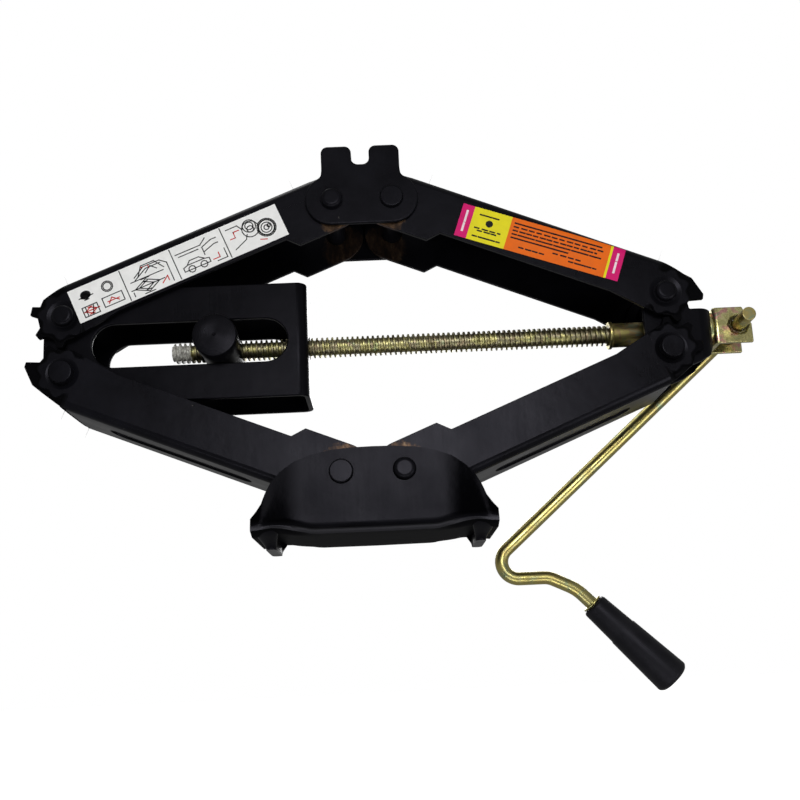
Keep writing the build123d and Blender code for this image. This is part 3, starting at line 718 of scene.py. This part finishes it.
core = lathe([(THREAD[0], 0.5), (THREAD[0], 4.4), (143.0, 4.4), (143.0, 6.0), (206.4, 6.0),
              (206.6, 8.0), (207.8, 7.8), (208.6, 6.8), (208.95, 5.0), (209.0, 0.5)])
screw_zinc, screw_tree, screw_shader = yellow_zinc("screw_zinc", tint="#8a866c", rough=0.34,
                                                   grime=0.9, flush="#8f7f66")
where = add_node(screw_tree, "ShaderNodeSeparateXYZ", {0: place_mm(screw_tree)})
ragged = remap(screw_tree, noise(screw_tree, place_mm(screw_tree), 2.0, 3.0), 0.0, 1.0, -3.0, 3.0)
along = maths(screw_tree, "ADD", where.outputs[0], ragged)
paint = remap(screw_tree, along, -105.0, -103.6, 1.0, 0.0)
old_colour = screw_shader.inputs["Base Color"].links[0].from_socket
paint_colour = ramp(screw_tree, noise(screw_tree, place_mm(screw_tree), 1.6, 4.0, 0.7),
                    [(0.35, "#5f5d56"), (0.5, "#c4c2ba"), (0.62, "#e6e4dc")])
screw_tree.links.new(blend(screw_tree, paint, old_colour, paint_colour),
                     screw_shader.inputs["Base Color"])
screw_tree.links.new(maths(screw_tree, "SUBTRACT", 1.0, paint), screw_shader.inputs["Metallic"])
screw = new_piece("threaded_screw", *joined([(thread_points, thread_faces), core]), screw_zinc,
                  "lead_screw", "yellow_zinc", 30.0)
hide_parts("lead_screw")

# ================================================================ collar, washer and clevis
# A rolled tube collar whose wavy seam faces front, a thrust washer, and the bent strap
# clevis that the crank folds in.  All yellow zinc, the clevis with pink and green bloom;
# the washer and clevis are riveted on by the end of the screw.
CLEVIS_X = 218.0            # where the crank's cross end passes through the clevis
collar_zinc = yellow_zinc("collar_zinc", (0.1, 0.3, 0.3), "#c4b870", 0.3, 0.2)[0]
clevis_zinc, clevis_tree, clevis_shader = yellow_zinc("clevis_zinc", tint="#c2bd88", rough=0.2,
                                                      grime=0.7, flush="#c08a86")
from_rod = distance_to(clevis_tree, CLEVIS_X, AXIS_Z)
wavy = noise(clevis_tree, place_mm(clevis_tree), 3.0, 4.0)
wavy = remap(clevis_tree, wavy, 0.0, 1.0, -1.2, 1.2)
from_rod = maths(clevis_tree, "ADD", from_rod, wavy)
staked = maths(clevis_tree, "MULTIPLY", remap(clevis_tree, from_rod, 6.4, 5.6), 0.85)
clean = clevis_shader.inputs["Base Color"].links[0].from_socket
clevis_tree.links.new(blend(clevis_tree, staked, clean, "#2b2416"),
                      clevis_shader.inputs["Base Color"])
clean = clevis_shader.inputs["Normal"].links[0].from_socket
groove = maths(clevis_tree, "ABSOLUTE", maths(clevis_tree, "SUBTRACT", from_rod, 5.6))
clevis_tree.links.new(bump(clevis_tree, remap(clevis_tree, groove, 0.0, 0.9), 0.6, clean),
                      clevis_shader.inputs["Normal"])
for name, finish, width in (("screw_collar", collar_zinc, 0.5), ("thrust_washer", clevis_zinc, 0.4),
                            ("crank_clevis", clevis_zinc, 0.7)):
    nodes[name].data.materials.clear()
    nodes[name].data.materials.append(finish)
    rounded(nodes[name], width)
seam_x = np.linspace(144.5, 170.0, 40)
sway = 9.0 * np.interp(seam_x, [144.5, 150.0, 170.0], [0, 1, 0.7])
seam_angle = np.radians(128.0 + np.sin((seam_x - 144.5) / 4.2) * sway)
seam_rows = []
for offset, radius in ((-0.06, 7.25), (0.0, 7.42), (0.06, 7.25)):
    seam_rows.append(np.column_stack([seam_x, -radius * np.sin(seam_angle + offset),
                                      AXIS_Z - radius * np.cos(seam_angle + offset)]))
new_piece("collar_seam", np.stack(seam_rows, 1).reshape(-1, 3), grid_faces(40, 3)[:, ::-1],
          collar_zinc, "lead_screw", "yellow_zinc")

# ================================================================ trunnion nut
# Turned steel cross pin, 24 mm, that the screw threads through; its front face shows
# turned rings and a centre mark.  Black coated, held in the slot by the screw.
NUT_X, NUT_SIDES = -86.0, 56
nut_coat = black_coat("nut_coat", dusty=0.8)
nut_tree, nut_shader = shader_of(nut_coat)
radial = distance_to(nut_tree, NUT_X, AXIS_Z)
rings = maths(nut_tree, "SINE", maths(nut_tree, "MULTIPLY", radial, 2.0 * math.pi / 0.9))
turned = bump(nut_tree, rings, 0.02, nut_shader.inputs["Normal"].links[0].from_socket)
nut_tree.links.new(turned, nut_shader.inputs["Normal"])
# Profile (y, radius) from the centre mark in front to the back end.
NUT_PROFILE = np.array([(-30.2, 0.05), (-30.5, 0.6), (-31.0, 1.1), (-31.0, 6.0), (-31.0, 11.6),
                        (-30.7, 12.3), (-30.0, 12.6), (-21.5, 12.6), (-21.0, 12.0), (23.0, 12.0),
                        (24.0, 11.0), (24.0, 0.05)])
turn = 2.0 * np.pi * np.arange(NUT_SIDES) / NUT_SIDES
nut_points = np.stack([NUT_X + NUT_PROFILE[:, 1:] * np.cos(turn),
                       np.repeat(NUT_PROFILE[:, :1], NUT_SIDES, 1),
                       AXIS_Z + NUT_PROFILE[:, 1:] * np.sin(turn)], -1).reshape(-1, 3)
nut_faces = list(grid_faces(len(NUT_PROFILE), NUT_SIDES, wrap=True)[:, ::-1])
last = (len(NUT_PROFILE) - 1) * NUT_SIDES
nut_faces += [np.arange(NUT_SIDES), np.arange(NUT_SIDES)[::-1] + last]
nut = new_piece("nut_turned", nut_points, nut_faces, nut_coat, "trunnion_nut", "black_coat", 35.0)
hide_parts("trunnion_nut")

# ================================================================ crank
# An 8 mm bar bent into the folding handle, yellow zinc with a brown cast, with a
# washer behind the grip and the grip moulded in black plastic, free to spin.  Its cross
# end turns in the clevis.
rod_zinc = yellow_zinc("rod_zinc", (0.3, 1.0, 0.3), "#b5ab68", 0.2, 0.4, "#b3a268")[0]
for name in ("crank_rod", "grip_washer"):
    nodes[name].data.materials.clear()
    nodes[name].data.materials.append(rod_zinc)
    rounded(nodes[name], 0.5, 3, 50.0)


def moulded_plastic(name):
    """Black moulded plastic: fine grain 0.5 mm, dusty clouds 14 mm, scuffs 1.8 mm."""
    material, tree, shader = new_material(name)
    place = place_mm(tree)
    dust = remap(tree, noise(tree, place, 14.0, 4.0), 0.4, 0.75, 0.0, 0.8)
    colour = blend(tree, dust, "#0d0d0f", "#18181b")
    scuff = remap(tree, noise(tree, place, 1.8, 4.0, 0.7), 0.68, 0.76, 0.0, 0.5)
    tree.links.new(blend(tree, scuff, colour, "#2c2c30"), shader.inputs["Base Color"])
    tree.links.new(remap(tree, dust, 0.0, 1.0, 0.42, 0.55), shader.inputs["Roughness"])
    shader.inputs["IOR"].default_value = 1.26
    shader.inputs["Specular Tint"].default_value = COAT_TINT
    tree.links.new(bump(tree, noise(tree, place, 0.5, 2.0), 0.03), shader.inputs["Normal"])
    return material


nodes["crank_grip"].data.materials.clear()
nodes["crank_grip"].data.materials.append(moulded_plastic("grip_plastic"))
rounded(nodes["crank_grip"], 0.8, 3)

# ================================================================ viewpoint
# From in front of the screw and a little below the base, so the webs of the lower arms
# and the insides of the rear flanges show.
EYE = (0.0078, -0.5588, -0.0691)
TURN = (100.93, 2.709, -0.525)
LENS_TO_WIDTH = 1.2285
camera_data = bpy.data.cameras.new("viewpoint")
camera_data.sensor_width = 36.0
camera_data.lens = camera_data.sensor_width * LENS_TO_WIDTH
camera_data.shift_x, camera_data.shift_y = -0.0065, 0.1014
camera_data.clip_start, camera_data.clip_end = 0.01, 30.0
camera = bpy.data.objects.new("viewpoint", camera_data)
camera.location = EYE
camera.rotation_euler = [math.radians(a) for a in TURN]
bpy.context.scene.collection.objects.link(camera)
bpy.context.scene.camera = camera

# ================================================================ floor and light
# A plain pale floor, low enough for the crank when the jack is fully down, and soft
# studio light: panels in front, low on the right, above and behind, and a dim surround.
REACH, DROP = 3.0, 0.056
floor_z = cad_box[0].z - DROP
floor_mesh = bpy.data.meshes.new("floor")
floor_mesh.from_pydata([(-REACH, -REACH, floor_z), (REACH, -REACH, floor_z),
                        (REACH, REACH, floor_z), (-REACH, REACH, floor_z)], [], [(0, 1, 2, 3)])
floor = bpy.data.objects.new("floor", floor_mesh)
bpy.context.scene.collection.objects.link(floor)
floor_material, _, floor_shader = new_material("pale_floor")
floor_shader.inputs["Base Color"].default_value = linear("#f4f4f4")
floor_shader.inputs["Roughness"].default_value = 0.9
floor_shader.inputs["Emission Color"].default_value = (1.0, 1.0, 1.0, 1.0)
floor_shader.inputs["Emission Strength"].default_value = 0.85
floor_mesh.materials.append(floor_material)
floor.visible_shadow = False
floor.visible_diffuse = False
floor.visible_glossy = False


def panel(name, place, aim, size, watts):
    """Rectangular soft light at place, pointing at aim."""
    data = bpy.data.lights.new(name, "AREA")
    data.shape = "RECTANGLE"
    data.size, data.size_y = size
    data.energy = watts
    lamp = bpy.data.objects.new(name, data)
    lamp.location = place
    lamp.rotation_euler = (Vector(aim) - Vector(place)).to_track_quat("-Z", "Y").to_euler()
    bpy.context.scene.collection.objects.link(lamp)


CENTRE = (0.0, 0.0, 0.1)
panel("front", (0.05, -1.3, 0.33), CENTRE, (0.55, 0.36), 6.0)
panel("low_front", (0.0, -0.85, -0.8), CENTRE, (1.4, 0.2), 4.0)
panel("low_right", (1.0, -0.8, -0.4), CENTRE, (0.5, 0.5), 3.0)
panel("top", (-0.2, 0.3, 1.3), CENTRE, (0.6, 0.6), 3.0)
panel("back", (0.2, 1.3, 0.5), CENTRE, (1.0, 0.5), 9.0)

world = bpy.data.worlds.new("studio")
bpy.context.scene.world = world
world.use_nodes = True
world_tree = world.node_tree
world_tree.nodes.clear()
seen = add_node(world_tree, "ShaderNodeBackground", sockets={0: (1.0, 1.0, 1.0, 1.0)})
lit = add_node(world_tree, "ShaderNodeBackground", sockets={0: (1.0, 1.0, 1.0, 1.0), 1: 0.30})
rays = add_node(world_tree, "ShaderNodeLightPath")
choose = add_node(world_tree, "ShaderNodeMixShader",
                  {0: rays.outputs["Is Camera Ray"], 1: lit.outputs[0], 2: seen.outputs[0]})
add_node(world_tree, "ShaderNodeOutputWorld", {0: choose.outputs[0]})
bpy.context.scene.view_settings.view_transform = "Standard"
